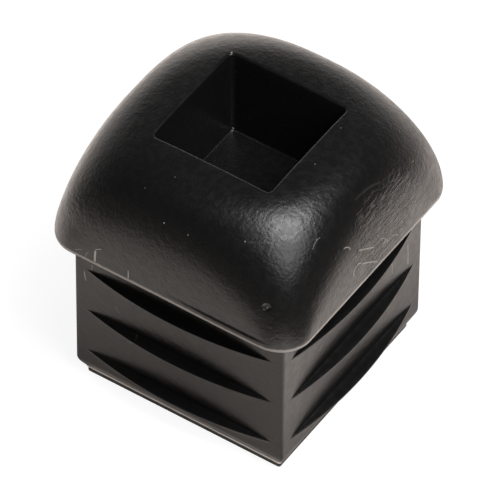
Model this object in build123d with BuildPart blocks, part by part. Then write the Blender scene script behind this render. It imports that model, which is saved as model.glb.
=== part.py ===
# End cap for a square beam, moulded as one piece.
# A domed square head with a drafted square socket in its crown stands on a hollow square
# shank. Each side of the shank carries three bowed fins that grip the inside of the beam.
# Millimetres, +Z up, origin in the middle of the foot's underside.
import os
from math import cos, radians, sin, sqrt

from build123d import *

# Head: its outline at the rim, its height, how full its side and crown are, and how its
# corners grow from the rim's radius to almost a circle at the top
head_width = 40.0
head_height = 17.3
rim_corner_radius = 4.7
rim_chamfer = 0.8
side_fullness = 7.1
crown_fullness = 2.85
crown_corner_share = 0.97
crown_corner_growth = 1.55
crown_steps = (0, 3, 8, 16, 27, 40, 53, 65, 74, 81, 86)

# Socket in the crown, measured at its floor
socket_width = 17.1
socket_depth = 13.7
socket_draft = 3.0
socket_corner_chamfer = 0.3
socket_floor_thickness = 3.0

# Shank, its lead-in chamfer and the foot under it
shank_width = 33.6
shank_length = 27.1
shank_corner_radius = 0.2
lead_in_inset = 1.1
lead_in_height = 1.9
foot_height = 0.9
foot_corner_radius = 0.4

# Hollow inside the shank
shank_wall = 3.2
hollow_corner_radius = 1.5

# Fins: three rings of four arcs, each bowed out from the middle of its side
fin_count = 3
fin_span = 29.7
fin_bow = 1.8
fin_tip = 0.2
fin_root_depth = 0.2
lowest_fin_ledge = 5.8
fin_pitch = 7.9

# Levels along the shank and head
crown_base_level = shank_length + rim_chamfer
crown_height = head_height - rim_chamfer
crown_level = shank_length + head_height
socket_floor_level = crown_level - socket_depth
hollow_depth = socket_floor_level - socket_floor_thickness

# The arc of a fin runs through both ends of its span and the bow between them
fin_arc_radius = ((fin_span / 2) ** 2 + fin_bow**2) / (2 * fin_bow)
fin_reach = shank_width / 2 + fin_bow
fin_arc_offset = fin_arc_radius - fin_reach
# Two neighbouring arcs meet on the diagonal, inside the corner of the shank
fin_corner = (sqrt(2 * fin_arc_radius**2 - fin_arc_offset**2) - fin_arc_offset) / 2


def crown_section(step: float) -> tuple[float, float, float]:
    """Give the head's outline at one step, in degrees, along its rounded profile.

    Args:
        step: 0 at the rim and 90 at the top of the crown.

    Returns:
        The height above the chamfered rim, the width across the flats and the corner radius.
    """
    rise = sin(radians(step)) ** (2 / crown_fullness)
    width = head_width * cos(radians(step)) ** (2 / side_fullness)
    rim_corner_share = rim_corner_radius / (head_width / 2)
    growth = rise**crown_corner_growth
    corner_share = rim_corner_share + (crown_corner_share - rim_corner_share) * growth
    return crown_height * rise, width, corner_share * width / 2


# One ring of fins: a bowed square plate with a flat ledge on top, a thin upright tip
# and an underside that slopes back to the shank, so that it leads in and then holds
with BuildPart() as fin_ring:
    with BuildSketch():
        with BuildLine():
            for quarter in range(4):
                side_points = [(-fin_corner, -fin_corner), (0, -fin_reach), (fin_corner, -fin_corner)]
                ThreePointArc(*[Vector(*point).rotate(Axis.Z, 90 * quarter) for point in side_points])
        make_face()
    extrude(amount=-(fin_tip + fin_bow + fin_root_depth))
    chamfer(fin_ring.edges().group_by(Axis.Z)[0], length=fin_bow + fin_root_depth)

with BuildPart() as end_cap:
    # Shank, with a lead-in chamfer round its lower edge
    with BuildSketch(Plane.XY.offset(foot_height)):
        Rectangle(shank_width, shank_width)
    extrude(amount=shank_length - foot_height)
    shank_end = end_cap.faces().sort_by(Axis.Z)[0]
    chamfer(shank_end.edges(), length=lead_in_inset, length2=lead_in_height, reference=shank_end)
    fillet(end_cap.edges().filter_by(Axis.Z), radius=shank_corner_radius)

    # Foot, as wide as the chamfer leaves
    foot_width = shank_width - 2 * lead_in_inset
    with BuildSketch():
        RectangleRounded(foot_width, foot_width, foot_corner_radius)
    extrude(amount=foot_height)

    # Rings of fins
    with Locations([(0, 0, lowest_fin_ledge + ring * fin_pitch) for ring in range(fin_count)]):
        add(fin_ring.part)

    # Chamfered lower rim of the head, whose flat underside is the shoulder
    shoulder_width = head_width - 2 * rim_chamfer
    with BuildSketch(Plane.XY.offset(shank_length)):
        RectangleRounded(shoulder_width, shoulder_width, rim_corner_radius - rim_chamfer)
    extrude(amount=rim_chamfer, taper=-45)

    # Head, lofted through rounded squares that shrink and turn rounder towards the crown
    for crown_step in crown_steps:
        rise_above_rim, section_width, section_corner = crown_section(crown_step)
        with BuildSketch(Plane.XY.offset(crown_base_level + rise_above_rim)):
            RectangleRounded(section_width, section_width, section_corner)
    loft()

    # Socket, wider at its mouth than at its floor, with narrow chamfers in its upright corners
    with BuildSketch(Plane.XY.offset(socket_floor_level)):
        Rectangle(socket_width, socket_width)
    extrude(amount=socket_depth, taper=-socket_draft, mode=Mode.SUBTRACT)
    socket_edges = end_cap.edges(Select.LAST)
    upright_edges = socket_edges.filter_by(lambda edge: edge.bounding_box().size.Z > socket_depth / 2)
    chamfer(upright_edges, length=socket_corner_chamfer)

    # Hollow, open at the foot
    hollow_width = shank_width - 2 * shank_wall
    with BuildSketch():
        RectangleRounded(hollow_width, hollow_width, hollow_corner_radius)
    extrude(amount=hollow_depth, mode=Mode.SUBTRACT)

end_cap.part.label = "end_cap"
os.makedirs("parts", exist_ok=True)
export_step(end_cap.part, "parts/end_cap.step")
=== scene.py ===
"""Square beam end cap: its finished surface, its plastic and the studio it stands in.

The cap is one moulded piece. Its skin is drawn as rings of points, one after another, from
the floor of the socket over the crown, the rim and the finned shank to the ceiling of the
hollow. Sizes are in millimetres until the skin is finished, and then in metres.
"""

import logging
import math
from dataclasses import dataclass, field, replace
from enum import Enum
from typing import Any, Iterator

import bmesh
import bpy
from mathutils import Matrix, Vector
from mathutils.bvhtree import BVHTree


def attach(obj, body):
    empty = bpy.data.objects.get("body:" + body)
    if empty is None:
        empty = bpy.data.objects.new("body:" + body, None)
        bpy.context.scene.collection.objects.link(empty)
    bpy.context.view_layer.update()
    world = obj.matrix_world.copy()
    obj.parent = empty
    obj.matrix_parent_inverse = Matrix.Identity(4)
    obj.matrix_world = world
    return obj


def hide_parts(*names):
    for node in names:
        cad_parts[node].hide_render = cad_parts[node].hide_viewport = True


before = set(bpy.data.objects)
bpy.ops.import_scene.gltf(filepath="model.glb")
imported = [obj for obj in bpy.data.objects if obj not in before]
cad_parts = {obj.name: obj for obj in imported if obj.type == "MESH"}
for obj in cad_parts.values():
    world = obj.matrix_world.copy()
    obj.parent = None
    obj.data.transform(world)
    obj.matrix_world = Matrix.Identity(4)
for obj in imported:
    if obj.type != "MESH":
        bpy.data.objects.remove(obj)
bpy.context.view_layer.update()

log = logging.getLogger("end_cap")

MM = 0.001
QUARTER_POINTS = 64
QUARTERS = 4
VIEW_PIXELS = 500


class Region(Enum):
    """Which of the cap's two finishes a part of the skin takes."""

    HEAD = 0
    SHANK = 1


@dataclass(frozen=True)
class RoundedSquare:
    """An outline in plan, centred on the axis: a square with rounded corners.

    Attributes:
        half: half the width across the flats.
        corner: the radius of the corners.
        flow: 0 where the corners are plain arcs, and up to 1 where they run into the flats
            without a break, as on a soft, full form of the same width and reach.
    """

    half: float
    corner: float
    flow: float = 0.0

    @property
    def flat(self) -> float:
        """Half the length of a straight side."""
        return self.half - self.corner

    @property
    def quarter_length(self) -> float:
        """The length of outline from the middle of one side to the middle of the next."""
        return 2 * self.flat + self.corner * math.pi / 2

    def grown(self, distance: float) -> "RoundedSquare":
        """The outline that runs this far outside this one."""
        return replace(self, half=self.half + distance, corner=self.corner + distance)

    def wider(self, distance: float) -> "RoundedSquare":
        """The outline that is this much wider on each side, with the same corners."""
        return replace(self, half=self.half + distance)

    def reach(self, cosine: float, sine: float) -> float:
        """Give the distance from the axis to the outline in one direction.

        Args:
            cosine: the cosine of the direction's angle from the nearest flat, at least the sine.
            sine: the sine of that angle.

        Returns:
            The distance.
        """
        if self.half * sine <= self.flat * cosine:
            plain = self.half / cosine
        else:
            along = self.flat * (cosine + sine)
            aside = self.flat * (cosine - sine)
            plain = along + math.sqrt(max(self.corner**2 - aside**2, 0.0))
        if self.flow == 0.0:
            return plain
        power = math.log(2) / -math.log(1 - (1 - math.sqrt(0.5)) * self.corner / self.half)
        full = self.half / (cosine**power + sine**power) ** (1 / power)
        return plain + (full - plain) * self.flow

    def covers(self, x: float, y: float) -> bool:
        """Whether a point in plan lies inside the outline."""
        distance = math.hypot(x, y)
        if distance == 0.0:
            return True
        return distance < self.reach(max(abs(x), abs(y)) / distance, min(abs(x), abs(y)) / distance)

    def point(self, distance: float) -> Vector:
        """Give a point of the first quarter.

        Args:
            distance: the length of outline from the middle of the side that faces +X.

        Returns:
            The point in plan.
        """
        past_corner = distance - self.flat - self.corner * math.pi / 2
        if distance <= self.flat:
            place = Vector((self.half, distance, 0))
        elif past_corner >= 0:
            place = Vector((self.flat - past_corner, self.half, 0))
        else:
            turn = (distance - self.flat) / self.corner
            x = self.flat + self.corner * math.cos(turn)
            place = Vector((x, self.flat + self.corner * math.sin(turn), 0))
        if self.flow == 0.0:
            return place
        length = place.length
        along = self.reach(max(place.x, place.y) / length, max(min(place.x, place.y), 0.0) / length)
        return place * (along / length)


class Skin:
    """A closed skin that grows ring by ring, all rings with the same number of points."""

    def __init__(self) -> None:
        """Start with an empty mesh."""
        self.mesh = bmesh.new()
        self.edge_ring: list[bmesh.types.BMVert] = []

    def start(self, points: list[Vector], region: Region) -> None:
        """Lay the first ring, closed by a flat face.

        Args:
            points: where the ring's points go, anticlockwise seen from above.
            region: the finish of the flat face.
        """
        made = bmesh.ops.create_circle(self.mesh, cap_ends=True, segments=len(points), radius=1.0)
        by_turn = sorted(made["verts"], key=lambda vert: math.atan2(vert.co.y, vert.co.x) % math.tau)
        self.edge_ring = by_turn
        self._place(by_turn, points)
        for face in self.mesh.faces:
            face.material_index = region.value

    def add(self, points: list[Vector], region: Region) -> None:
        """Extrude the open edge of the skin and put the new ring in its place.

        Args:
            points: where the new ring's points go, in the order of the first ring's.
            region: the finish of the new strip of faces.
        """
        count = len(self.edge_ring)
        open_edges = [
            self.mesh.edges.get((self.edge_ring[i], self.edge_ring[(i + 1) % count])) for i in range(count)
        ]
        made = bmesh.ops.extrude_edge_only(self.mesh, edges=open_edges)["geom"]
        new_verts = {item for item in made if isinstance(item, bmesh.types.BMVert)}
        follower = {}
        for vert in new_verts:
            for edge in vert.link_edges:
                other = edge.other_vert(vert)
                if other not in new_verts:
                    follower[other] = vert
        for item in made:
            if isinstance(item, bmesh.types.BMFace):
                item.material_index = region.value
        self.edge_ring = [follower[vert] for vert in self.edge_ring]
        self._place(self.edge_ring, points)

    def close(self, region: Region) -> None:
        """Fill the last ring with a flat face of the given finish."""
        face = self.mesh.faces.new(self.edge_ring)
        face.material_index = region.value

    @staticmethod
    def _place(verts: list[bmesh.types.BMVert], points: list[Vector]) -> None:
        """Move each vertex to its point."""
        for vert, point in zip(verts, points, strict=True):
            vert.co = point


def all_round(quarter: list[Vector]) -> list[Vector]:
    """Repeat a quarter's points on all four sides.

    Args:
        quarter: points from the middle of the side that faces +X to just before the next.

    Returns:
        The whole ring, anticlockwise.
    """
    ring = []
    for turn in range(QUARTERS):
        for point in quarter:
            x, y = point.x, point.y
            for _ in range(turn):
                x, y = -y, x
            ring.append(Vector((x, y, point.z)))
    return ring


def even_quarter(shape: RoundedSquare, level: float) -> list[Vector]:
    """Spread points evenly along a quarter of an outline.

    Args:
        shape: the outline.
        level: its height.

    Returns:
        The points of the quarter.
    """
    step = shape.quarter_length / QUARTER_POINTS
    quarter = [shape.point(step * i) for i in range(QUARTER_POINTS)]
    for point in quarter:
        point.z = level
    return quarter


def even_ring(shape: RoundedSquare, level: float) -> list[Vector]:
    """Spread a whole ring evenly along an outline at one height."""
    return all_round(even_quarter(shape, level))


def smooth_step(value: float, start: float, end: float) -> float:
    """Ease from 0 at the start to 1 at the end."""
    share = min(max((value - start) / (end - start), 0.0), 1.0)
    return share * share * (3 - 2 * share)


def quarter_turn(steps: int) -> Iterator[tuple[float, float]]:
    """Step round a quarter circle of radius 1.

    Args:
        steps: how many steps the turn takes.

    Yields:
        The sine and the cosine of each step after the start.
    """
    for step in range(1, steps + 1):
        angle = math.pi / 2 * step / steps
        yield math.sin(angle), math.cos(angle)


@dataclass(frozen=True)
class Crown:
    """The domed head above its rim, whose sections grow rounder as they shrink."""

    base_level: float = 27.9
    height: float = 16.5
    half_width: float = 20.0
    side_fullness: float = 7.1
    crown_fullness: float = 2.85
    rim_corner: float = 4.7
    corner_share: float = 0.97
    corner_growth: float = 1.55
    flow_start: float = 0.02
    flow_full: float = 0.3
    turn_to_side: float = 52.0
    top_rings: int = 26
    side_rings: int = 40
    ring_gap: float = 0.15
    solver_steps: int = 44

    def section(self, rise: float) -> RoundedSquare:
        """Give the outline of the head at one height.

        Args:
            rise: 0 at the rim and 1 at the top.

        Returns:
            The outline.
        """
        half = self.half_width * (1 - rise**self.crown_fullness) ** (1 / self.side_fullness)
        rim_share = self.rim_corner / self.half_width
        share = rim_share + (self.corner_share - rim_share) * rise**self.corner_growth
        return RoundedSquare(half, share * half, smooth_step(rise, self.flow_start, self.flow_full))

    def level_over(self, x: float, y: float) -> float:
        """Find how high the crown is over a point in plan, by halving the height."""
        low, high = 0.0, 1.0
        for _ in range(self.solver_steps):
            middle = (low + high) / 2
            if self.section(middle).covers(x, y):
                low = middle
            else:
                high = middle
        return self.base_level + self.height * low

    def lifted(self, quarter: list[Vector], below: float = 0.0) -> list[Vector]:
        """Lift a quarter's points onto the crown, or to a distance below it."""
        return [Vector((p.x, p.y, self.level_over(p.x, p.y) - below)) for p in quarter]

    def rings(self, mouth: RoundedSquare, lip_level: float) -> Iterator[list[Vector]]:
        """Run down the crown from the edge of the socket to the rim.

        Args:
            mouth: the outline that the crown starts from.
            lip_level: where the rim's lip takes over.

        Yields:
            One ring after another, without the first, which is the mouth's own.
        """
        rise = math.sin(math.radians(self.turn_to_side)) ** (2 / self.crown_fullness)
        inner = even_quarter(mouth, 0.0)
        outer = even_quarter(self.section(rise), 0.0)
        for step in range(1, self.top_rings):
            share = step / self.top_rings
            yield all_round(self.lifted([a.lerp(b, share) for a, b in zip(inner, outer)]))
        for step in range(self.side_rings, 0, -1):
            turn = math.radians(self.turn_to_side * step / self.side_rings)
            rise = math.sin(turn) ** (2 / self.crown_fullness)
            if self.base_level + self.height * rise > lip_level + self.ring_gap:
                yield even_ring(self.section(rise), self.base_level + self.height * rise)


@dataclass(frozen=True)
class Socket:
    """The drafted square socket, from its flat floor up to its mouth in the crown."""

    floor_half: float = 8.55
    floor_level: float = 30.7
    corner: float = 0.7
    floor_fillet: float = 0.3
    mouth_level: float = 44.1
    mouth_edge: float = 0.32
    draft: float = 3.0
    wall_rings: int = 8
    fillet_steps: int = 4

    def wall_shape(self, level: float) -> RoundedSquare:
        """The outline of the drafted walls at one height."""
        spread = (level - self.floor_level) * math.tan(math.radians(self.draft))
        return RoundedSquare(self.floor_half, self.corner).wider(spread)

    def mouth_shape(self) -> RoundedSquare:
        """The outline that the crown starts from, outside the rounded edge of the mouth."""
        return self.wall_shape(self.mouth_level).grown(self.mouth_edge)

    def build(self, skin: Skin, crown: Crown) -> None:
        """Draw the floor, the walls and the rounded edge of the mouth.

        Args:
            skin: the skin to draw them on.
            crown: the crown that the mouth opens in.
        """
        floor = self.wall_shape(self.floor_level)
        skin.start(even_ring(floor.grown(-self.floor_fillet), self.floor_level), Region.HEAD)
        for sine, cosine in quarter_turn(self.fillet_steps):
            shape = floor.grown(self.floor_fillet * (sine - 1))
            skin.add(even_ring(shape, self.floor_level + self.floor_fillet * (1 - cosine)), Region.HEAD)
        start_level = self.floor_level + self.floor_fillet
        under_mouth = crown.lifted(even_quarter(self.wall_shape(self.mouth_level), 0.0), self.mouth_edge)
        for step in range(1, self.wall_rings + 1):
            share = step / self.wall_rings
            level = start_level + (self.mouth_level - self.mouth_edge - start_level) * share
            quarter = even_quarter(self.wall_shape(level), 0.0)
            for point, top in zip(quarter, under_mouth):
                point.z = start_level + (top.z - start_level) * share
            skin.add(all_round(quarter), Region.HEAD)
        wall_top = self.wall_shape(self.mouth_level)
        for sine, cosine in quarter_turn(self.fillet_steps):
            shape = wall_top.grown(self.mouth_edge * (1 - cosine))
            quarter = crown.lifted(even_quarter(shape, 0.0), self.mouth_edge * (1 - sine))
            skin.add(all_round(quarter), Region.HEAD)


@dataclass(frozen=True)
class LipStation:
    """One line round the lip at the bottom of the head.

    Attributes:
        level: its height.
        inset: how far it lies inside the head's widest outline.
        bead_share: the share of the bead's height by which it stands out, where there is a bead.
    """

    level: float
    inset: float
    bead_share: float = 0.0


@dataclass(frozen=True)
class Rim:
    """The lower edge of the head: a narrow upright lip that turns under to the shoulder.

    On the side that faces -Y the lip swells into a low bead, where the mould didn't quite close.
    """

    stations: tuple[LipStation, ...] = (
        LipStation(29.3, 0.0),
        LipStation(29.05, 0.0),
        LipStation(28.94, 0.0),
        LipStation(28.86, 0.0, 0.12),
        LipStation(28.72, 0.0, 0.5),
        LipStation(28.58, 0.0, 0.88),
        LipStation(28.5, 0.0, 1.0),
        LipStation(28.34, 0.0, 1.0),
        LipStation(28.2, 0.0, 1.0),
        LipStation(28.05, 0.004, 0.95),
        LipStation(27.85, 0.012, 0.85),
        LipStation(27.68, 0.025, 0.75),
        LipStation(27.54, 0.045, 0.65),
        LipStation(27.44, 0.085, 0.5),
        LipStation(27.36, 0.15, 0.3),
        LipStation(27.29, 0.25, 0.1),
        LipStation(27.22, 0.4),
        LipStation(27.18, 0.6),
    )
    bead_height: float = 0.18
    bead_from: tuple[float, float] = (-3.0, 9.0)
    bead_to: tuple[float, float] = (13.5, 17.0)

    @property
    def top_level(self) -> float:
        """Where the lip begins."""
        return self.stations[0].level

    def bead_at(self, point: Vector) -> float:
        """How far the bead stands out at a point of the outline."""
        if point.y > -abs(point.x):
            return 0.0
        rise = smooth_step(point.x, *self.bead_from)
        return self.bead_height * rise * (1 - smooth_step(point.x, *self.bead_to))

    def build(self, skin: Skin, crown: Crown) -> None:
        """Draw the lip, which takes over from the crown's lowest rings.

        Args:
            skin: the skin to draw it on.
            crown: the crown that stands on the rim.
        """
        for station in self.stations:
            rise = max(station.level - crown.base_level, 0.0) / crown.height
            ring = even_ring(crown.section(rise).grown(-station.inset), station.level)
            for point in ring:
                point.y -= self.bead_at(point) * station.bead_share
            skin.add(ring, Region.HEAD)


@dataclass(frozen=True)
class FinStation:
    """One line along a fin, from its root over its edge and back to the wall.

    Attributes:
        reach: the share of the fin's bow that this line stands out by.
        drop_share: how far it lies below the ledge, as a share of the bow.
        drop: how far it lies below the ledge besides.
    """

    reach: float
    drop_share: float
    drop: float


@dataclass(frozen=True)
class Shank:
    """The square shank with three bowed fins a side, its lead-in and its foot."""

    half: float = 16.8
    corner: float = 0.35
    top_level: float = 27.1
    fin_half_span: float = 14.85
    fin_bow: float = 1.8
    fin_ledges: tuple[float, ...] = (21.6, 13.7, 5.8)
    fin_stations: tuple[FinStation, ...] = (
        FinStation(0.0, 0.0, -0.10),
        FinStation(0.04, 0.0, -0.07),
        FinStation(0.5, 0.0, -0.03),
        FinStation(0.93, 0.0, 0.0),
        FinStation(0.975, 0.0, 0.02),
        FinStation(0.995, 0.0, 0.06),
        FinStation(1.0, 0.0, 0.12),
        FinStation(1.0, 0.0, 0.20),
        FinStation(0.95, 0.05, 0.24),
        FinStation(0.6, 0.4, 0.28),
        FinStation(0.25, 0.75, 0.32),
        FinStation(0.0, 1.0, 0.36),
    )
    wall_under_fin: float = 2.6
    lead_in: tuple[tuple[float, float], ...] = (
        (3.6, 0.0),
        (3.2, 0.012),
        (2.9, 0.06),
        (2.6, 0.16),
        (2.3, 0.29),
        (2.0, 0.45),
        (1.7, 0.63),
        (1.45, 0.79),
        (1.3, 0.87),
        (1.22, 0.9),
        (1.08, 0.93),
        (0.94, 0.965),
        (0.88, 1.0),
        (0.85, 1.08),
        (0.8, 1.1),
        (0.45, 1.1),
        (0.15, 1.1),
        (0.06, 1.13),
        (0.0, 1.22),
    )
    end_land_points: int = 2
    corner_points: int = 4

    def distances(self) -> list[float]:
        """Give the distances along a quarter at which the shank's points lie.

        Returns:
            The distances from the middle of a side, with one at each end of the fins.
        """
        corner_start = self.half - self.corner
        corner_length = self.corner * math.pi / 2
        half_side = QUARTER_POINTS // 2 - self.end_land_points - self.corner_points // 2
        marks = [self.fin_half_span * i / half_side for i in range(half_side)]
        land = corner_start - self.fin_half_span
        lands, turns = self.end_land_points, self.corner_points
        marks += [self.fin_half_span + land * i / lands for i in range(lands)]
        marks += [corner_start + corner_length * i / turns for i in range(turns + 1)]
        whole = 2 * corner_start + corner_length
        back = [whole - mark for mark in reversed(marks[1 : half_side + self.end_land_points])]
        return marks + back

    def bow_at(self, across: float) -> float:
        """How far a fin stands out from the wall, this far from the middle of its side."""
        if abs(across) >= self.fin_half_span:
            return 0.0
        radius = (self.fin_half_span**2 + self.fin_bow**2) / (2 * self.fin_bow)
        return math.sqrt(radius**2 - across**2) - (radius - self.fin_bow)

    def ring(self, level: float, inset: float = 0.0) -> list[Vector]:
        """A plain ring of the shank at one height, turned in by the given inset."""
        scale = (self.half - inset) / self.half
        shape = RoundedSquare(self.half, self.corner)
        quarter = [shape.point(mark) * scale for mark in self.distances()]
        for point in quarter:
            point.z = level
        return all_round(quarter)

    def fin_ring(self, ledge: float, station: FinStation) -> list[Vector]:
        """Draw one line of a fin all round the shank.

        Args:
            ledge: the height of the fin's ledge.
            station: where on the fin the line lies.

        Returns:
            The ring.
        """
        shape = RoundedSquare(self.half, self.corner)
        quarter = []
        for mark in self.distances():
            point = shape.point(mark)
            bow = self.bow_at(min(point.x, point.y))
            if point.x >= point.y:
                point.x += bow * station.reach
            else:
                point.y += bow * station.reach
            point.z = ledge - station.drop - station.drop_share * bow
            quarter.append(point)
        return all_round(quarter)

    def build(self, skin: Skin) -> None:
        """Draw the walls, the fins, the lead-in and the foot.

        Args:
            skin: the skin to draw them on.
        """
        skin.add(self.ring(self.top_level), Region.SHANK)
        for ledge in self.fin_ledges:
            for station in self.fin_stations:
                skin.add(self.fin_ring(ledge, station), Region.SHANK)
            if ledge != self.fin_ledges[-1]:
                skin.add(self.ring(ledge - self.wall_under_fin), Region.SHANK)
        for level, inset in self.lead_in:
            skin.add(self.ring(level, inset), Region.SHANK)


@dataclass(frozen=True)
class Hollow:
    """The hollow inside the shank, open at the foot."""

    half: float = 13.6
    corner: float = 1.5
    ceiling_level: float = 27.7
    edge: float = 0.3
    edge_steps: int = 3
    wall_rings: int = 5

    def build(self, skin: Skin) -> None:
        """Draw the inner edge of the foot, the inside walls and the ceiling.

        Args:
            skin: the skin to draw them on.
        """
        walls = RoundedSquare(self.half, self.corner)
        skin.add(even_ring(walls.grown(self.edge), 0.0), Region.SHANK)
        for sine, cosine in quarter_turn(self.edge_steps):
            skin.add(even_ring(walls.grown(self.edge * (1 - sine)), self.edge * (1 - cosine)), Region.SHANK)
        top = self.ceiling_level - self.edge
        for step in range(1, self.wall_rings + 1):
            skin.add(even_ring(walls, self.edge + (top - self.edge) * step / self.wall_rings), Region.SHANK)
        for sine, cosine in quarter_turn(self.edge_steps):
            skin.add(even_ring(walls.grown(self.edge * (cosine - 1)), top + self.edge * sine), Region.SHANK)
        skin.close(Region.SHANK)


class NodeSheet:
    """Adds nodes to one tree and joins them."""

    def __init__(self, tree: bpy.types.NodeTree) -> None:
        """Take the tree to work on and empty it."""
        self.tree = tree
        tree.nodes.clear()

    def add(self, kind: str, inputs: dict[str | int, Any] | None = None, **settings: Any) -> bpy.types.Node:
        """Add a node.

        Args:
            kind: the node's type, without the leading ShaderNode.
            inputs: a value or another node's output for each named or numbered input.
            settings: the node's own properties.

        Returns:
            The node.
        """
        node = self.tree.nodes.new("ShaderNode" + kind)
        for name, value in settings.items():
            setattr(node, name, value)
        for key, value in (inputs or {}).items():
            if isinstance(value, bpy.types.NodeSocket):
                self.tree.links.new(value, node.inputs[key])
            else:
                node.inputs[key].default_value = value
        return node

    def effect(self, group: bpy.types.NodeTree, place: Any, inputs: dict[str, Any] | None = None) -> Any:
        """Add a shared effect at a place on the surface, with its own values.

        Args:
            group: the effect's node group.
            place: the place on the surface.
            inputs: the values that differ from the group's own.

        Returns:
            The effect's outputs, by name.
        """
        return self.add("Group", {"Vector": place, **(inputs or {})}, node_tree=group).outputs

    def math(self, operation: str, first: Any, second: Any = 0.0, third: Any = 0.0) -> bpy.types.NodeSocket:
        """Add a Math node and return its result."""
        return self.add("Math", {0: first, 1: second, 2: third}, operation=operation).outputs[0]

    def vector(self, operation: str, first: Any, second: Any) -> bpy.types.NodeSocket:
        """Add a Vector Math node and return its vector."""
        return self.add("VectorMath", {0: first, 1: second}, operation=operation).outputs["Vector"]

    def measure(self, operation: str, first: Any, second: Any = (0, 0, 0)) -> bpy.types.NodeSocket:
        """Add a Vector Math node that measures and return its number."""
        return self.add("VectorMath", {0: first, 1: second}, operation=operation).outputs["Value"]

    def noise(self, place: Any, scale: Any, detail: float, roughness: float = 0.5) -> bpy.types.NodeSocket:
        """Add a Noise Texture node and return its value."""
        inputs = {"Vector": place, "Scale": scale, "Detail": detail, "Roughness": roughness}
        return self.add("TexNoise", inputs).outputs[0]

    def line(self, value: Any, low: Any, high: Any) -> bpy.types.NodeSocket:
        """Add a straight Map Range node, from 0 to 1, and return its result."""
        return self.add("MapRange", {"Value": value, "From Min": low, "From Max": high}).outputs[0]

    def ramp(self, value: Any, low: Any, high: Any, start: Any = 0.0, end: Any = 1.0) -> bpy.types.NodeSocket:
        """Add a smooth Map Range node and return its result."""
        inputs = {"Value": value, "From Min": low, "From Max": high, "To Min": start, "To Max": end}
        return self.add("MapRange", inputs, interpolation_type="SMOOTHSTEP").outputs[0]

    def within(self, distance: Any, reach: Any, full_share: float) -> bpy.types.NodeSocket:
        """Mask what lies within a reach, fully up to the given share of it."""
        return self.ramp(distance, reach, self.math("MULTIPLY", reach, full_share))

    def uneven(self, reach: Any, place: Any, scale: float, detail: float) -> bpy.types.NodeSocket:
        """Vary a reach along the surface, from half of it to one and a half times."""
        return self.math("MULTIPLY", reach, self.math("ADD", self.noise(place, scale, detail), 0.5))

    def blend(self, share: Any, first: Any, second: Any) -> bpy.types.NodeSocket:
        """Mix two colours and return the result."""
        return self.add("Mix", {0: share, 6: first, 7: second}, data_type="RGBA").outputs[2]


class EffectSheet(NodeSheet):
    """The nodes of a shared effect, which is a node group with named inputs and outputs."""

    def __init__(self, name: str, inputs: dict[str, Any], outputs: tuple[str, ...]) -> None:
        """Make the group, whose first input is the place on the surface.

        Args:
            name: the group's name.
            inputs: the default of each further input, a number or a vector.
            outputs: the names of the masks or heights that it puts out.
        """
        super().__init__(bpy.data.node_groups.new(name, "ShaderNodeTree"))
        for label, default in {"Vector": (0.0, 0.0, 0.0), **inputs}.items():
            kind = "NodeSocketVector" if isinstance(default, tuple) else "NodeSocketFloat"
            self.tree.interface.new_socket(label, in_out="INPUT", socket_type=kind).default_value = default
        for label in outputs:
            self.tree.interface.new_socket(label, in_out="OUTPUT", socket_type="NodeSocketFloat")
        self.given = self.tree.nodes.new("NodeGroupInput").outputs
        self.place = self.given["Vector"]

    def put_out(self, *results: bpy.types.NodeSocket) -> bpy.types.NodeTree:
        """Join the results to the group's outputs, in their order, and return the group."""
        out = self.tree.nodes.new("NodeGroupOutput")
        for result, socket in zip(results, out.inputs):
            self.tree.links.new(result, socket)
        return self.tree


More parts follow.
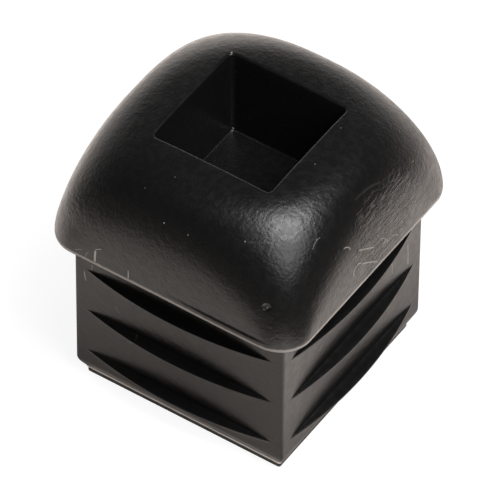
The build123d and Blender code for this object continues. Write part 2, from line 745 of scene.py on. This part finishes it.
class SurfaceEffects:
    """The node groups that both finishes of the cap share.

    Attributes:
        wave_scale: the scale of the grain's broad waves, as a share of the fine grain's.
        hollow_tones: between which heights the waves' hollows end.
        streak_tones: between which values of the noise a streak begins.
        patch_edge: the scale of the unevenness round the rubbed patch.
        edge_waver: the scale of the unevenness along the line of a painted edge highlight.
        speck_sizes: how much the specks vary, and the smallest, in cells.
    """

    wave_scale: float = 0.42
    hollow_tones: tuple[float, float] = (0.35, 0.65)
    streak_tones: tuple[float, float] = (0.45, 0.68)
    patch_edge: float = 420.0
    edge_waver: float = 900.0
    speck_sizes: tuple[float, float] = (0.09, 0.04)

    def __init__(self) -> None:
        """Make each group once."""
        self.grain = self._grain()
        self.scuffs = self._scuffs()
        self.dust = self._dust()
        self.strand = self._strand()
        self.edges = self._painted_highlight_line()

    def _grain(self) -> bpy.types.NodeTree:
        """Make the fine, leathery grain that the mould leaves.

        Returns:
            A group that puts out a height and a mask of the grain's hollows.
        """
        inputs = {"Cells per Metre": 2350.0, "Waviness": 1.1}
        sheet = EffectSheet("moulded_grain", inputs, ("Height", "Hollows"))
        cells = sheet.given["Cells per Metre"]
        fine = sheet.noise(sheet.place, cells, 2.0, 0.4)
        waves = sheet.noise(sheet.place, sheet.math("MULTIPLY", cells, self.wave_scale), 1.0)
        height = sheet.math("MULTIPLY_ADD", waves, sheet.given["Waviness"], fine)
        return sheet.put_out(height, sheet.ramp(waves, *self.hollow_tones))

    def _scuffs(self) -> bpy.types.NodeTree:
        """Make fine streaks in one patch, where the cap has rubbed along its own side.

        Returns:
            A group that puts out a mask of the streaks.
        """
        inputs = {
            "Patch Centre": (0.0, 0.0, 0.0),
            "Patch Radius": 0.0088,
            "Streaks per Metre": 1900.0,
            "Streak Length": 0.22,
        }
        sheet = EffectSheet("rubbed_patch", inputs, ("Streaks",))
        stretch = sheet.add("CombineXYZ", {0: 1.0, 1: sheet.given["Streak Length"], 2: 1.0}).outputs[0]
        drawn = sheet.vector("MULTIPLY", sheet.place, stretch)
        noise = sheet.noise(drawn, sheet.given["Streaks per Metre"], 3.0, 0.7)
        away = sheet.measure("DISTANCE", sheet.place, sheet.given["Patch Centre"])
        reach = sheet.uneven(sheet.given["Patch Radius"], sheet.place, self.patch_edge, 3.0)
        patch = sheet.within(away, reach, 0.45)
        return sheet.put_out(sheet.math("MULTIPLY", sheet.ramp(noise, *self.streak_tones), patch))

    def _dust(self) -> bpy.types.NodeTree:
        """Make scattered pale dust specks.

        Returns:
            A group that puts out a mask of the specks.
        """
        sheet = EffectSheet("dust_specks", {"Specks per Metre": 700.0, "Share": 0.1}, ("Mask",))
        spread = {"Vector": sheet.place, "Scale": sheet.given["Specks per Metre"]}
        cells = sheet.add("TexVoronoi", spread, feature="F1").outputs
        lots = sheet.add("SeparateColor", {"Color": cells["Color"]}).outputs
        chosen = sheet.math("LESS_THAN", lots[0], sheet.given["Share"])
        size = sheet.math("MULTIPLY_ADD", lots[1], *self.speck_sizes)
        return sheet.put_out(sheet.math("MULTIPLY", sheet.within(cells["Distance"], size, 0.4), chosen))

    def _painted_highlight_line(self) -> bpy.types.NodeTree:
        """Make a painted highlight: the pale line of an edge that catches the light, running round at one
        height.

        Returns:
            A group that puts out a mask of the line, where it lies far enough to one side.
        """
        inputs = {"Level": 0.0, "Half Width": 0.0004, "Side": (0.0, 0.0, 0.0), "Reach": -1.0}
        sheet = EffectSheet("painted_edge_highlight", inputs, ("Mask",))
        height = sheet.add("SeparateXYZ", {0: sheet.place}).outputs[2]
        aside = sheet.math("ABSOLUTE", sheet.math("SUBTRACT", height, sheet.given["Level"]))
        half = sheet.uneven(sheet.given["Half Width"], sheet.place, self.edge_waver, 2.0)
        out_there = sheet.measure("DOT_PRODUCT", sheet.place, sheet.given["Side"])
        shown = sheet.math("GREATER_THAN", out_there, sheet.given["Reach"])
        return sheet.put_out(sheet.math("MULTIPLY", sheet.within(aside, half, 0.35), shown))

    def _strand(self) -> bpy.types.NodeTree:
        """Make one thin strand that lies on the surface along an arc, or one round speck.

        Returns:
            A group that puts out a mask of the strand.
        """
        inputs = {
            "Bend Centre": (0.0, 0.0, 0.0),
            "Bend Radius": 0.0,
            "Middle": (0.0, 0.0, 0.0),
            "Half Length": 0.001,
            "Width": 0.0001,
            "Strength": 1.0,
        }
        sheet = EffectSheet("lying_strand", inputs, ("Mask",))
        away = sheet.measure("DISTANCE", sheet.place, sheet.given["Bend Centre"])
        aside = sheet.math("ABSOLUTE", sheet.math("SUBTRACT", away, sheet.given["Bend Radius"]))
        across = sheet.within(aside, sheet.given["Width"], 0.3)
        along = sheet.measure("DISTANCE", sheet.place, sheet.given["Middle"])
        ends = sheet.within(along, sheet.given["Half Length"], 0.8)
        faded = sheet.math("MULTIPLY", ends, sheet.given["Strength"])
        return sheet.put_out(sheet.math("MULTIPLY", across, faded))


@dataclass(frozen=True)
class Strand:
    """A lint fibre or a scratch, through three points of the view.

    Attributes:
        pixels: where its start, its middle and its end are seen.
        width: half its width in millimetres.
        strength: how much it shows.
    """

    pixels: tuple[tuple[float, float], tuple[float, float], tuple[float, float]]
    width: float = 0.09
    strength: float = 0.6


@dataclass(frozen=True)
class Speck:
    """A grain of dust or a pit.

    Attributes:
        pixel: where it is seen.
        radius: its radius in millimetres.
        strength: how much it shows.
    """

    pixel: tuple[float, float]
    radius: float = 0.13
    strength: float = 0.5


LINT = (
    Strand(((94.6, 262.0), (95.0, 256.0), (95.4, 250.0)), 0.12, 1.0),
    Strand(((95.4, 250.0), (98.0, 249.2), (101.5, 249.6)), 0.11, 0.8),
    Strand(((75.0, 249.8), (78.5, 249.3), (82.0, 249.7)), 0.1, 0.5),
    Strand(((86.0, 257.0), (86.6, 253.5), (89.0, 252.0)), 0.1, 0.35),
    Strand(((128.0, 270.5), (128.2, 274.5), (128.0, 279.0)), 0.13, 0.8),
    Strand(((84.2, 270.5), (84.8, 275.5), (86.2, 281.0)), 0.12, 0.8),
    Strand(((92.0, 264.5), (92.3, 267.0), (91.8, 270.0)), 0.1, 0.5),
    Strand(((115.5, 306.5), (117.5, 310.5), (120.0, 313.0)), 0.08, 0.35),
    Strand(((127.0, 341.0), (130.0, 342.5), (133.0, 343.0)), 0.08, 0.3),
    Strand(((353.9, 276.5), (355.1, 268.6), (361.0, 263.5)), 0.14, 0.7),
    Strand(((360.8, 264.4), (369.5, 262.2), (378.0, 261.7)), 0.14, 0.65),
    Strand(((358.0, 250.6), (366.0, 248.9), (375.0, 247.2)), 0.14, 0.6),
    Strand(((343.4, 249.2), (346.8, 247.3), (350.5, 250.3)), 0.12, 0.55),
    Strand(((391.6, 236.8), (394.6, 234.9), (398.0, 235.9)), 0.13, 0.45),
    Strand(((380.0, 239.2), (384.0, 238.6), (387.0, 241.0)), 0.11, 0.4),
    Strand(((383.4, 245.4), (384.4, 242.6), (387.2, 243.6)), 0.12, 0.45),
    Strand(((407.7, 243.5), (408.0, 254.0), (407.8, 265.5)), 0.16, 0.55),
    Strand(((391.8, 258.0), (392.3, 267.0), (392.1, 276.0)), 0.16, 0.25),
    Strand(((320.8, 237.0), (315.6, 242.6), (313.0, 250.4)), 0.1, 0.18),
)
SCRATCHES = (
    Strand(((362.0, 194.0), (370.0, 187.0), (382.0, 182.5)), 0.24, 0.16),
    Strand(((355.0, 201.0), (362.0, 193.0), (371.0, 186.0)), 0.2, 0.14),
    Strand(((246.0, 242.2), (260.0, 242.6), (276.0, 242.4)), 0.07, 0.13),
)
DUST = (
    Speck((231.6, 52.4), 0.16, 1.0),
    Speck((232.9, 128.2), 0.16, 0.9),
    Speck((145.0, 188.0), 0.12, 0.4),
    Speck((164.0, 223.0), 0.14, 0.6),
    Speck((175.0, 177.0), 0.11, 0.35),
    Speck((188.0, 235.0), 0.15, 0.4),
    Speck((257.3, 211.8), 0.12, 0.6),
    Speck((245.0, 241.5), 0.14, 0.45),
    Speck((341.0, 128.0), 0.11, 0.3),
    Speck((315.0, 164.0), 0.12, 0.35),
    Speck((317.0, 240.0), 0.12, 0.4),
    Speck((267.3, 307.8), 0.14, 0.45),
    Speck((377.8, 235.8), 0.2, 0.5),
    Speck((356.0, 257.0), 0.2, 0.5),
)
PITS = (
    Speck((390.0, 208.0), 0.17, 0.9),
    Speck((382.0, 211.2), 0.17, 0.9),
    Speck((370.2, 221.8), 0.16, 0.8),
    Speck((355.6, 224.0), 0.17, 0.8),
    Speck((358.4, 213.2), 0.15, 0.7),
    Speck((361.2, 227.8), 0.17, 0.8),
    Speck((366.0, 224.8), 0.15, 0.7),
    Speck((367.8, 231.0), 0.15, 0.7),
    Speck((374.6, 216.4), 0.14, 0.6),
    Speck((379.3, 243.2), 0.3, 0.9),
    Speck((378.2, 247.2), 0.2, 0.8),
    Speck((383.0, 240.0), 0.18, 0.7),
    Speck((390.0, 240.3), 0.2, 0.7),
    Speck((379.5, 256.0), 0.22, 0.8),
    Speck((373.8, 251.6), 0.2, 0.7),
    Speck((371.8, 256.2), 0.2, 0.7),
    Speck((354.0, 255.8), 0.2, 0.8),
    Speck((360.5, 243.6), 0.18, 0.7),
)
DIMPLE_PIXEL = (266.6, 307.6)
RUBBED_PIXEL = (386.0, 226.0)


@dataclass(frozen=True)
class PlacedMark:
    """A strand or a speck on the cap's surface, in metres.

    Attributes:
        centre: the centre of the circle that a strand lies on, or a speck's own.
        bend: the radius of that circle, or 0 for a speck.
        middle: the middle of the mark.
        half_length: how far the mark reaches from its middle.
        width: half a strand's width, or a speck's radius.
        strength: how much it shows.
    """

    centre: Vector
    bend: float
    middle: Vector
    half_length: float
    width: float
    strength: float

    def mask(self, sheet: NodeSheet, effects: SurfaceEffects, place: bpy.types.NodeSocket) -> Any:
        """Add the mark to a material.

        Args:
            sheet: the material's nodes.
            effects: the shared node groups.
            place: the place on the surface.

        Returns:
            The mark's mask.
        """
        inputs = {
            "Bend Centre": self.centre,
            "Bend Radius": self.bend,
            "Middle": self.middle,
            "Half Length": self.half_length,
            "Width": self.width,
            "Strength": self.strength,
        }
        return sheet.effect(effects.strand, place, inputs)["Mask"]


class MarkFinder:
    """Finds where the marks that the view shows lie on the cap."""

    speck_room: float = 3.0

    def __init__(self, camera: "ProductCamera", surface: BVHTree) -> None:
        """Take the camera that sees the marks and the surface that carries them."""
        self.camera = camera
        self.surface = surface

    def find(self, pixel: tuple[float, float]) -> Vector | None:
        """Give the point of the surface at a pixel, if the cap is there."""
        return self.surface.ray_cast(*self.camera.ray(pixel))[0]

    def speck(self, speck: Speck) -> PlacedMark | None:
        """Place a speck, with room round it for its soft edge."""
        place = self.find(speck.pixel)
        if place is None:
            return None
        radius = speck.radius * MM
        return PlacedMark(place, 0.0, place, self.speck_room * radius, radius, speck.strength)

    def strand(self, strand: Strand) -> PlacedMark | None:
        """Place a strand on the circle through its three points."""
        hits = [self.find(pixel) for pixel in strand.pixels]
        if None in hits:
            return None
        start, middle, end = hits
        first, second = start - end, middle - end
        normal = first.cross(second)
        toward = first.length_squared * second - second.length_squared * first
        centre = end + toward.cross(normal) / (2 * normal.length_squared)
        bend = (middle - centre).length
        outward = (start + end) / 2 - centre
        if outward.dot(middle - centre) < 0:
            outward = -outward
        middle = centre + outward.normalized() * bend
        half_length = max((start - middle).length, (end - middle).length)
        return PlacedMark(centre, bend, middle, half_length, strand.width * MM, strand.strength)

    def marks(self, found: tuple[Strand | Speck, ...], region: Region, split: float) -> list[PlacedMark]:
        """Place those marks that lie on one region.

        Args:
            found: the marks.
            region: the region of the skin.
            split: the height in metres at which the head begins.

        Returns:
            The marks on that region.
        """
        placed = [self.speck(mark) if isinstance(mark, Speck) else self.strand(mark) for mark in found]
        on_head = region is Region.HEAD
        return [mark for mark in placed if mark is not None and (mark.middle.z > split) == on_head]


@dataclass(frozen=True)
class MouldedPlastic:
    """Black moulded plastic with a fine grain, a rubbed patch, lint, dust, pits and a painted highlight along
    one edge.
    """

    name: str
    region: Region
    base: tuple[float, float, float, float] = (0.0062, 0.006, 0.006, 1.0)
    rubbed: tuple[float, float, float, float] = (0.1, 0.088, 0.078, 1.0)
    # The pale colour of the painted highlight along an edge, on the head the rim's lower edge
    edge: tuple[float, float, float, float] = (0.26, 0.245, 0.23, 1.0)
    lint: tuple[float, float, float, float] = (0.42, 0.395, 0.36, 1.0)
    pit: tuple[float, float, float, float] = (0.002, 0.0012, 0.0008, 1.0)
    refraction: float = 1.5
    roughness: float = 0.322
    roughness_spread: float = 0.03
    rubbed_roughness: float = 0.5
    dust_share: float = 0.012
    rubbed_share: float = 0.22
    # The painted highlight along an edge, a pale line: where it runs, in metres, and how far out to one side
    # it starts to show
    highlight_level: float = 0.02768
    highlight_half_width: float = 0.00046
    highlight_side: tuple[float, float, float] = (0.0, 0.0, 0.0)
    highlight_reach: float = -1.0
    # Heights: the grain's in metres, and the others as multiples of it
    grain_height: float = 0.000033
    grain_strength: float = 1.0
    lint_height: float = 1.7
    streak_height: float = 2.85
    dimple_depth: float = 5.9
    # Between which distances from its centre, in metres, the dimple's bowl and its pip rise
    dimple_bowl: tuple[float, float] = (0.0007, 0.00025)
    dimple_pip: tuple[float, float] = (0.00025, 0.00004)

    def build(self, effects: SurfaceEffects, finder: MarkFinder, split: float) -> bpy.types.Material:
        """Make the material.

        Args:
            effects: the shared node groups.
            finder: finds the marks on the surface.
            split: the height in metres at which the head begins.

        Returns:
            The material.
        """
        material = bpy.data.materials.new(self.name)
        material.use_nodes = True
        sheet = NodeSheet(material.node_tree)
        place = sheet.add("TexCoord").outputs["Object"]
        grain = sheet.effect(effects.grain, place)
        dust = sheet.effect(effects.dust, place, {"Share": self.dust_share})["Mask"]
        streaks = sheet.effect(effects.scuffs, place, {"Patch Centre": finder.find(RUBBED_PIXEL)})["Streaks"]
        rubbed = sheet.math("MULTIPLY", streaks, self.rubbed_share)
        masks = []
        for found, mask in ((SCRATCHES, rubbed), (LINT + DUST, dust), (PITS, 0.0)):
            for mark in finder.marks(found, self.region, split):
                mask = sheet.math("MAXIMUM", mask, mark.mask(sheet, effects, place))
            masks.append(mask)
        scratched, pale, sunk = masks

        # The painted highlight: a pale line at one height, standing in for the light that an edge catches
        highlight_inputs = {
            "Level": self.highlight_level,
            "Half Width": self.highlight_half_width,
            "Side": self.highlight_side,
            "Reach": self.highlight_reach,
        }
        edges = sheet.effect(effects.edges, place, highlight_inputs)["Mask"]
        # Rubbed streaks first, then the painted highlight of the edge laid over them
        scuffed_and_highlit = sheet.blend(edges, sheet.blend(scratched, self.base, self.rubbed), self.edge)
        colour = sheet.blend(pale, sheet.blend(sunk, scuffed_and_highlit, self.pit), self.lint)

        low, high = self.roughness - self.roughness_spread, self.roughness + self.roughness_spread
        grained = sheet.ramp(grain["Hollows"], 0.0, 1.0, high, low)
        marked = sheet.math("MAXIMUM", scratched, pale)
        rough = sheet.math("MULTIPLY_ADD", marked, self.rubbed_roughness - self.roughness, grained)

        raised = sheet.math("MULTIPLY_ADD", pale, self.lint_height, grain["Height"])
        height = sheet.math("MULTIPLY_ADD", streaks, self.streak_height, sheet.math("SUBTRACT", raised, sunk))
        if self.region is Region.HEAD:
            height = sheet.math("ADD", height, self._dimple(sheet, place, finder.find(DIMPLE_PIXEL)))
        bump_inputs = {"Height": height, "Distance": self.grain_height, "Strength": self.grain_strength}
        normal = sheet.add("Bump", bump_inputs).outputs[0]
        look = {"Base Color": colour, "Roughness": rough, "Normal": normal, "IOR": self.refraction}
        sheet.add("OutputMaterial", {"Surface": sheet.add("BsdfPrincipled", look).outputs[0]})
        return material

    def _dimple(self, sheet: NodeSheet, place: bpy.types.NodeSocket, centre: Vector) -> Any:
        """Make the small ringed dimple near the front corner of the rim.

        Args:
            sheet: the material's nodes.
            place: the place on the surface.
            centre: the dimple's centre.

        Returns:
            Its height, as a multiple of the grain's.
        """
        away = sheet.measure("DISTANCE", place, centre)
        bowl = sheet.ramp(away, *self.dimple_bowl, 0.0, -self.dimple_depth)
        pip = sheet.ramp(away, *self.dimple_pip, 0.0, self.dimple_depth)
        return sheet.math("ADD", bowl, pip)


@dataclass
class EndCap:
    """The whole cap, built as one closed skin."""

    crown: Crown = field(default_factory=Crown)
    socket: Socket = field(default_factory=Socket)
    rim: Rim = field(default_factory=Rim)
    shank: Shank = field(default_factory=Shank)
    hollow: Hollow = field(default_factory=Hollow)
    surface: BVHTree | None = None
    sharp_angle: float = 42.0

    def build(self) -> bpy.types.Object:
        """Draw the skin from the socket's floor to the hollow's ceiling.

        Returns:
            The cap's object.
        """
        skin = Skin()
        self.socket.build(skin, self.crown)
        for ring in self.crown.rings(self.socket.mouth_shape(), self.rim.top_level):
            skin.add(ring, Region.HEAD)
        self.rim.build(skin, self.crown)
        self.shank.build(skin)
        self.hollow.build(skin)
        bmesh.ops.recalc_face_normals(skin.mesh, faces=skin.mesh.faces)
        bmesh.ops.scale(skin.mesh, vec=(MM, MM, MM), verts=skin.mesh.verts)
        self.surface = BVHTree.FromBMesh(skin.mesh)
        data = bpy.data.meshes.new("cap_skin")
        skin.mesh.to_mesh(data)
        skin.mesh.free()
        data.shade_smooth()
        data.set_sharp_from_angle(angle=math.radians(self.sharp_angle))
        cap = bpy.data.objects.new("cap_skin", data)
        bpy.context.scene.collection.objects.link(cap)
        cap.modifiers.new("even_shading", "WEIGHTED_NORMAL").keep_sharp = True
        log.info("cap_skin: %d faces", len(data.polygons))
        return cap

    def dress(self, cap: bpy.types.Object, camera: "ProductCamera") -> None:
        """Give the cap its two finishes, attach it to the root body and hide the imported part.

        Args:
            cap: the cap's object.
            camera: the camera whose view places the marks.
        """
        effects = SurfaceEffects()
        finder = MarkFinder(camera, self.surface)
        finishes = {
            Region.HEAD: MouldedPlastic("head_plastic", Region.HEAD),
            Region.SHANK: MouldedPlastic(
                "shank_plastic",
                Region.SHANK,
                grain_strength=0.8,
                rubbed_share=0.2,
                # The foot's pale line, shown on the side that faces -Y only, is a painted highlight
                edge=(0.8, 0.77, 0.73, 1.0),
                highlight_level=0.00112,
                highlight_side=(0.0, -1.0, 0.0),
                highlight_reach=0.0153,
            ),
        }
        for region in Region:
            cap.data.materials.append(finishes[region].build(effects, finder, self.shank.top_level * MM))
        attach(cap, "root")
        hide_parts("end_cap")


@dataclass(frozen=True)
class ProductCamera:
    """A long lens that looks down on a corner of the cap."""

    azimuth: float = 33.5
    elevation: float = 47.29
    roll: float = 0.62
    distance: float = 982.3
    focal: float = 522.8
    aim_level: float = 9.6
    aim_up: float = 6.76
    aim_right: float = 0.14
    sensor: float = 36.0
    clip: float = 10.0

    def pose(self) -> Matrix:
        """Give the camera's place and turn, in metres."""
        az, el = math.radians(self.azimuth), math.radians(self.elevation)
        back = Vector((math.sin(az) * math.cos(el), -math.cos(az) * math.cos(el), math.sin(el)))
        right = Vector((math.cos(az), math.sin(az), 0))
        low_point = Vector((0, 0, self.aim_level))
        place = low_point + back * self.distance
        target = low_point + back.cross(right) * self.aim_up + right * self.aim_right
        turn = (target - place).to_track_quat("-Z", "Y").to_matrix()
        rolled = turn @ Matrix.Rotation(math.radians(self.roll), 3, "Z")
        return Matrix.Translation(place * MM) @ rolled.to_4x4()

    def ray(self, pixel: tuple[float, float]) -> tuple[Vector, Vector]:
        """Give the line of sight through a pixel of the square view.

        Args:
            pixel: the pixel's column and row, from the top left corner.

        Returns:
            Where the line starts and its direction.
        """
        pose = self.pose()
        across, down = (value / VIEW_PIXELS - 0.5 for value in pixel)
        local = Vector((across * self.sensor, -down * self.sensor, -self.focal))
        return pose.translation, (pose.to_3x3() @ local).normalized()

    def build(self) -> bpy.types.Object:
        """Make the camera and make it the scene's.

        Returns:
            The camera's object.
        """
        data = bpy.data.cameras.new("product_camera")
        data.lens = self.focal
        data.sensor_width = self.sensor
        data.clip_end = self.clip
        camera = bpy.data.objects.new("product_camera", data)
        camera.matrix_world = self.pose()
        bpy.context.scene.collection.objects.link(camera)
        bpy.context.scene.camera = camera
        return camera


@dataclass(frozen=True)
class SoftLamp:
    """A round soft lamp that points at the cap from a metre away.

    Attributes:
        name: the lamp's name.
        azimuth: its direction in degrees, anticlockwise from the side that faces -Y.
        elevation: its height in degrees.
        size: its diameter in metres.
        power: its power in watts.
    """

    name: str
    azimuth: float
    elevation: float
    size: float
    power: float
    distance: float = 1.0

    def build(self) -> None:
        """Hang the lamp."""
        toward = toward_azimuth(self.azimuth, self.elevation)
        data = bpy.data.lights.new(self.name, "AREA")
        data.shape = "DISK"
        data.size = self.size
        data.energy = self.power
        lamp = bpy.data.objects.new(self.name, data)
        lamp.location = toward * self.distance
        lamp.rotation_euler = toward.to_track_quat("Z", "Y").to_euler()
        bpy.context.scene.collection.objects.link(lamp)


def toward_azimuth(azimuth: float, elevation: float = 0.0) -> Vector:
    """Turn an azimuth from -Y and an elevation, in degrees, into a direction."""
    az, el = math.radians(azimuth), math.radians(elevation)
    return Vector((math.sin(az) * math.cos(el), -math.cos(az) * math.cos(el), math.sin(el)))


@dataclass(frozen=True)
class Studio:
    """A white sheet that is small in front and runs up behind the cap, in a dim room."""

    lamps: tuple[SoftLamp, ...] = (
        SoftLamp("top_lamp", 108.0, 76.0, 0.3, 1.7),
        SoftLamp("soft_lamp", 81.0, 63.0, 0.4, 4.5),
        SoftLamp("side_lamp", 69.0, 42.0, 0.62, 3.2),
    )
    # The floor, as it is seen
    floor_half: float = 4.0
    floor_sink: float = 0.00005
    floor_tone: float = 0.25
    floor_glow: float = 0.885
    # The sheet that lies on it, as the cap mirrors it: its tone and where it fades out, in
    # front, on the right, whose edge turns with the depth, and all round
    sheet_tint: tuple[float, float, float] = (1.0, 0.9, 0.84)
    sheet_tone: float = 0.85
    front_edge: tuple[float, float] = (-0.1, -0.042)
    right_edge: tuple[float, float] = (0.072, 0.029)
    right_edge_turns: tuple[float, float] = (0.16, -0.45)
    sheet_radius: tuple[float, float] = (0.16, 0.1)
    # Its brighter parts: in a ring, on the left, on the right and in a band along the foot
    ring_reach: tuple[float, float] = (0.026, 0.055)
    ring_glow: float = 0.32
    left_turn: float = -0.3
    left_reach: tuple[float, float] = (-0.025, -0.07)
    left_glow: float = 0.96
    right_reach: tuple[float, float] = (0.0165, 0.028)
    right_glow: float = 0.68
    foot_band: float = 0.0168
    foot_half_depth: tuple[float, float] = (0.0013, 0.0005)
    foot_half_width: tuple[float, float] = (0.0158, 0.0152)
    foot_glow: float = 0.3
    # The floor beyond the sheet, which is bright only towards the backdrop
    far_turn: tuple[float, float] = (0.1, 0.95)
    far_tones: tuple[float, float] = (0.1, 1.5)
    # The room, the backdrop and the even light on the cap
    room_tone: float = 0.035
    horizon_tone: float = 0.09
    horizon_height: float = 0.25
    backdrop_tone: float = 2.3
    backdrop_azimuth: float = -141.0
    backdrop_height: float = 0.55
    backdrop_focus: float = 4.0
    fill: float = 0.21

    def build(self) -> None:
        """Make the floor, the surroundings and the lamps."""
        self._floor()
        self._surroundings()
        for lamp in self.lamps:
            lamp.build()

    def _tinted(self, tone: float) -> tuple[float, float, float, float]:
        """The sheet's warm white at one brightness."""
        red, green, blue = self.sheet_tint
        return red * tone, green * tone, blue * tone, 1.0

    def _floor(self) -> None:
        """Lay the floor, which looks white, keeps a faint shadow and is dim far from the cap."""
        flat = bmesh.new()
        bmesh.ops.create_grid(flat, x_segments=1, y_segments=1, size=self.floor_half)
        bmesh.ops.translate(flat, vec=(0, 0, -self.floor_sink), verts=flat.verts)
        data = bpy.data.meshes.new("floor")
        flat.to_mesh(data)
        flat.free()
        floor = bpy.data.objects.new("floor", data)
        bpy.context.scene.collection.objects.link(floor)
        data.materials.append(self._floor_white())

    def _floor_white(self) -> bpy.types.Material:
        """Make the floor's material.

        Returns:
            A material that is white to the camera and the lit sheet to what mirrors it.
        """
        material = bpy.data.materials.new("floor_white")
        material.use_nodes = True
        sheet = NodeSheet(material.node_tree)
        path = sheet.add("LightPath").outputs
        grey = (self.floor_tone, self.floor_tone, self.floor_tone, 1)
        lit = sheet.add("BsdfDiffuse", {"Color": grey}).outputs[0]
        glow = sheet.add("Emission", {"Color": (1, 1, 1, 1), "Strength": self.floor_glow}).outputs[0]
        seen = sheet.add("AddShader", {0: lit, 1: glow}).outputs[0]

        place = sheet.add("TexCoord").outputs["Object"]
        across, along = sheet.add("SeparateXYZ", {0: place}).outputs[:2]
        away = sheet.measure("LENGTH", place)
        plain = sheet.add("BsdfDiffuse", {"Color": self._tinted(self.sheet_tone)}).outputs[0]
        bright_parts = self._sheet_glow(sheet, across, along, away)
        near = sheet.add("AddShader", {0: plain, 1: self._glow(sheet, bright_parts)}).outputs[0]
        outward = sheet.vector("NORMALIZE", place, (0, 0, 0))
        behind = sheet.measure("DOT_PRODUCT", outward, toward_azimuth(self.backdrop_azimuth))
        far = self._glow(sheet, sheet.ramp(behind, *self.far_turn, *self.far_tones))
        share = self._sheet_share(sheet, across, along, away)
        reflected = sheet.add("MixShader", {0: share, 1: far, 2: near}).outputs[0]

        mirror_ray = sheet.math("MAXIMUM", path["Is Glossy Ray"], path["Is Transmission Ray"])
        unseen = sheet.add("MixShader", {0: mirror_ray, 1: plain, 2: reflected}).outputs[0]
        surface = sheet.add("MixShader", {0: path["Is Camera Ray"], 1: unseen, 2: seen}).outputs[0]
        sheet.add("OutputMaterial", {"Surface": surface})
        return material

    def _glow(self, sheet: NodeSheet, strength: bpy.types.NodeSocket) -> bpy.types.NodeSocket:
        """Add a glow in the sheet's warm white and return its shader."""
        return sheet.add("Emission", {"Color": self._tinted(1.0), "Strength": strength}).outputs[0]

    def _sheet_glow(self, sheet: NodeSheet, across: Any, along: Any, away: Any) -> bpy.types.NodeSocket:
        """Give how much brighter than its tone the sheet is.

        Args:
            sheet: the floor's nodes.
            across: the place on the floor along X.
            along: the place on the floor along Y.
            away: the distance from the cap's axis.

        Returns:
            The strength of the glow.
        """
        ring = sheet.ramp(away, *self.ring_reach, 0.0, self.ring_glow)
        back_left = sheet.math("MULTIPLY_ADD", along, self.left_turn, across)
        left = sheet.ramp(back_left, *self.left_reach, 0.0, self.left_glow)
        right = sheet.ramp(across, *self.right_reach, 0.0, self.right_glow)
        off_band = sheet.math("ABSOLUTE", sheet.math("ADD", along, self.foot_band))
        band = sheet.ramp(off_band, *self.foot_half_depth, 0.0, self.foot_glow)
        beside = sheet.ramp(sheet.math("ABSOLUTE", across), *self.foot_half_width)
        sides = sheet.math("ADD", ring, sheet.math("ADD", left, right))
        return sheet.math("MULTIPLY_ADD", band, beside, sides)

    def _sheet_share(self, sheet: NodeSheet, across: Any, along: Any, away: Any) -> bpy.types.NodeSocket:
        """Give where the floor is the sheet.

        Args:
            sheet: the floor's nodes.
            across: the place on the floor along X.
            along: the place on the floor along Y.
            away: the distance from the cap's axis.

        Returns:
            1 on the sheet and 0 beyond it.
        """
        back_turn, front_turn = (sheet.math("MULTIPLY", along, turn) for turn in self.right_edge_turns)
        turned = sheet.math("MAXIMUM", back_turn, front_turn)
        inside_right = sheet.ramp(sheet.math("SUBTRACT", across, turned), *self.right_edge)
        inside = sheet.math("MULTIPLY", sheet.ramp(along, *self.front_edge), inside_right)
        return sheet.math("MULTIPLY", inside, sheet.ramp(away, *self.sheet_radius))

    def _surroundings(self) -> None:
        """Make the surroundings: white for the camera, a backdrop behind and a dim room."""
        world = bpy.data.worlds.new("studio")
        world.use_nodes = True
        bpy.context.scene.world = world
        sheet = NodeSheet(world.node_tree)
        path = sheet.add("LightPath").outputs
        direction = sheet.add("TexCoord").outputs["Generated"]
        upward = sheet.add("SeparateXYZ", {0: direction}).outputs[2]
        room = sheet.ramp(upward, 0.0, self.horizon_height, self.horizon_tone, self.room_tone)
        behind = sheet.measure("DOT_PRODUCT", direction, toward_azimuth(self.backdrop_azimuth))
        run = sheet.measure("LENGTH", sheet.vector("MULTIPLY", direction, (1, 1, 0)))
        facing = sheet.math("MAXIMUM", sheet.math("DIVIDE", behind, run), 0.0)
        sideways = sheet.math("POWER", facing, self.backdrop_focus)
        backdrop = sheet.math("MULTIPLY", sideways, sheet.line(upward, self.backdrop_height, 0.0))
        mirrored = sheet.math("MULTIPLY_ADD", backdrop, self.backdrop_tone, room)
        mirror_ray = sheet.math("MAXIMUM", path["Is Glossy Ray"], path["Is Transmission Ray"])
        unseen = sheet.add("Mix", {0: mirror_ray, 2: self.fill, 3: mirrored}).outputs[0]
        strength = sheet.math("MAXIMUM", unseen, path["Is Camera Ray"])
        tinted = sheet.math("MULTIPLY", backdrop, sheet.math("SUBTRACT", 1.0, path["Is Camera Ray"]))
        tint = sheet.blend(tinted, (1, 1, 1, 1), self._tinted(1.0))
        background = sheet.add("Background", {"Color": tint, "Strength": strength}).outputs[0]
        sheet.add("OutputWorld", {"Surface": background})


def main() -> None:
    """Build the studio and the cap."""
    logging.basicConfig(level=logging.INFO, format="%(name)s: %(message)s")
    bpy.context.scene.view_settings.view_transform = "Standard"
    camera = ProductCamera()
    camera.build()
    Studio().build()
    cap_model = EndCap()
    cap = cap_model.build()
    cap_model.dress(cap, camera)
    bpy.context.view_layer.update()


if __name__ == "__main__":
    main()
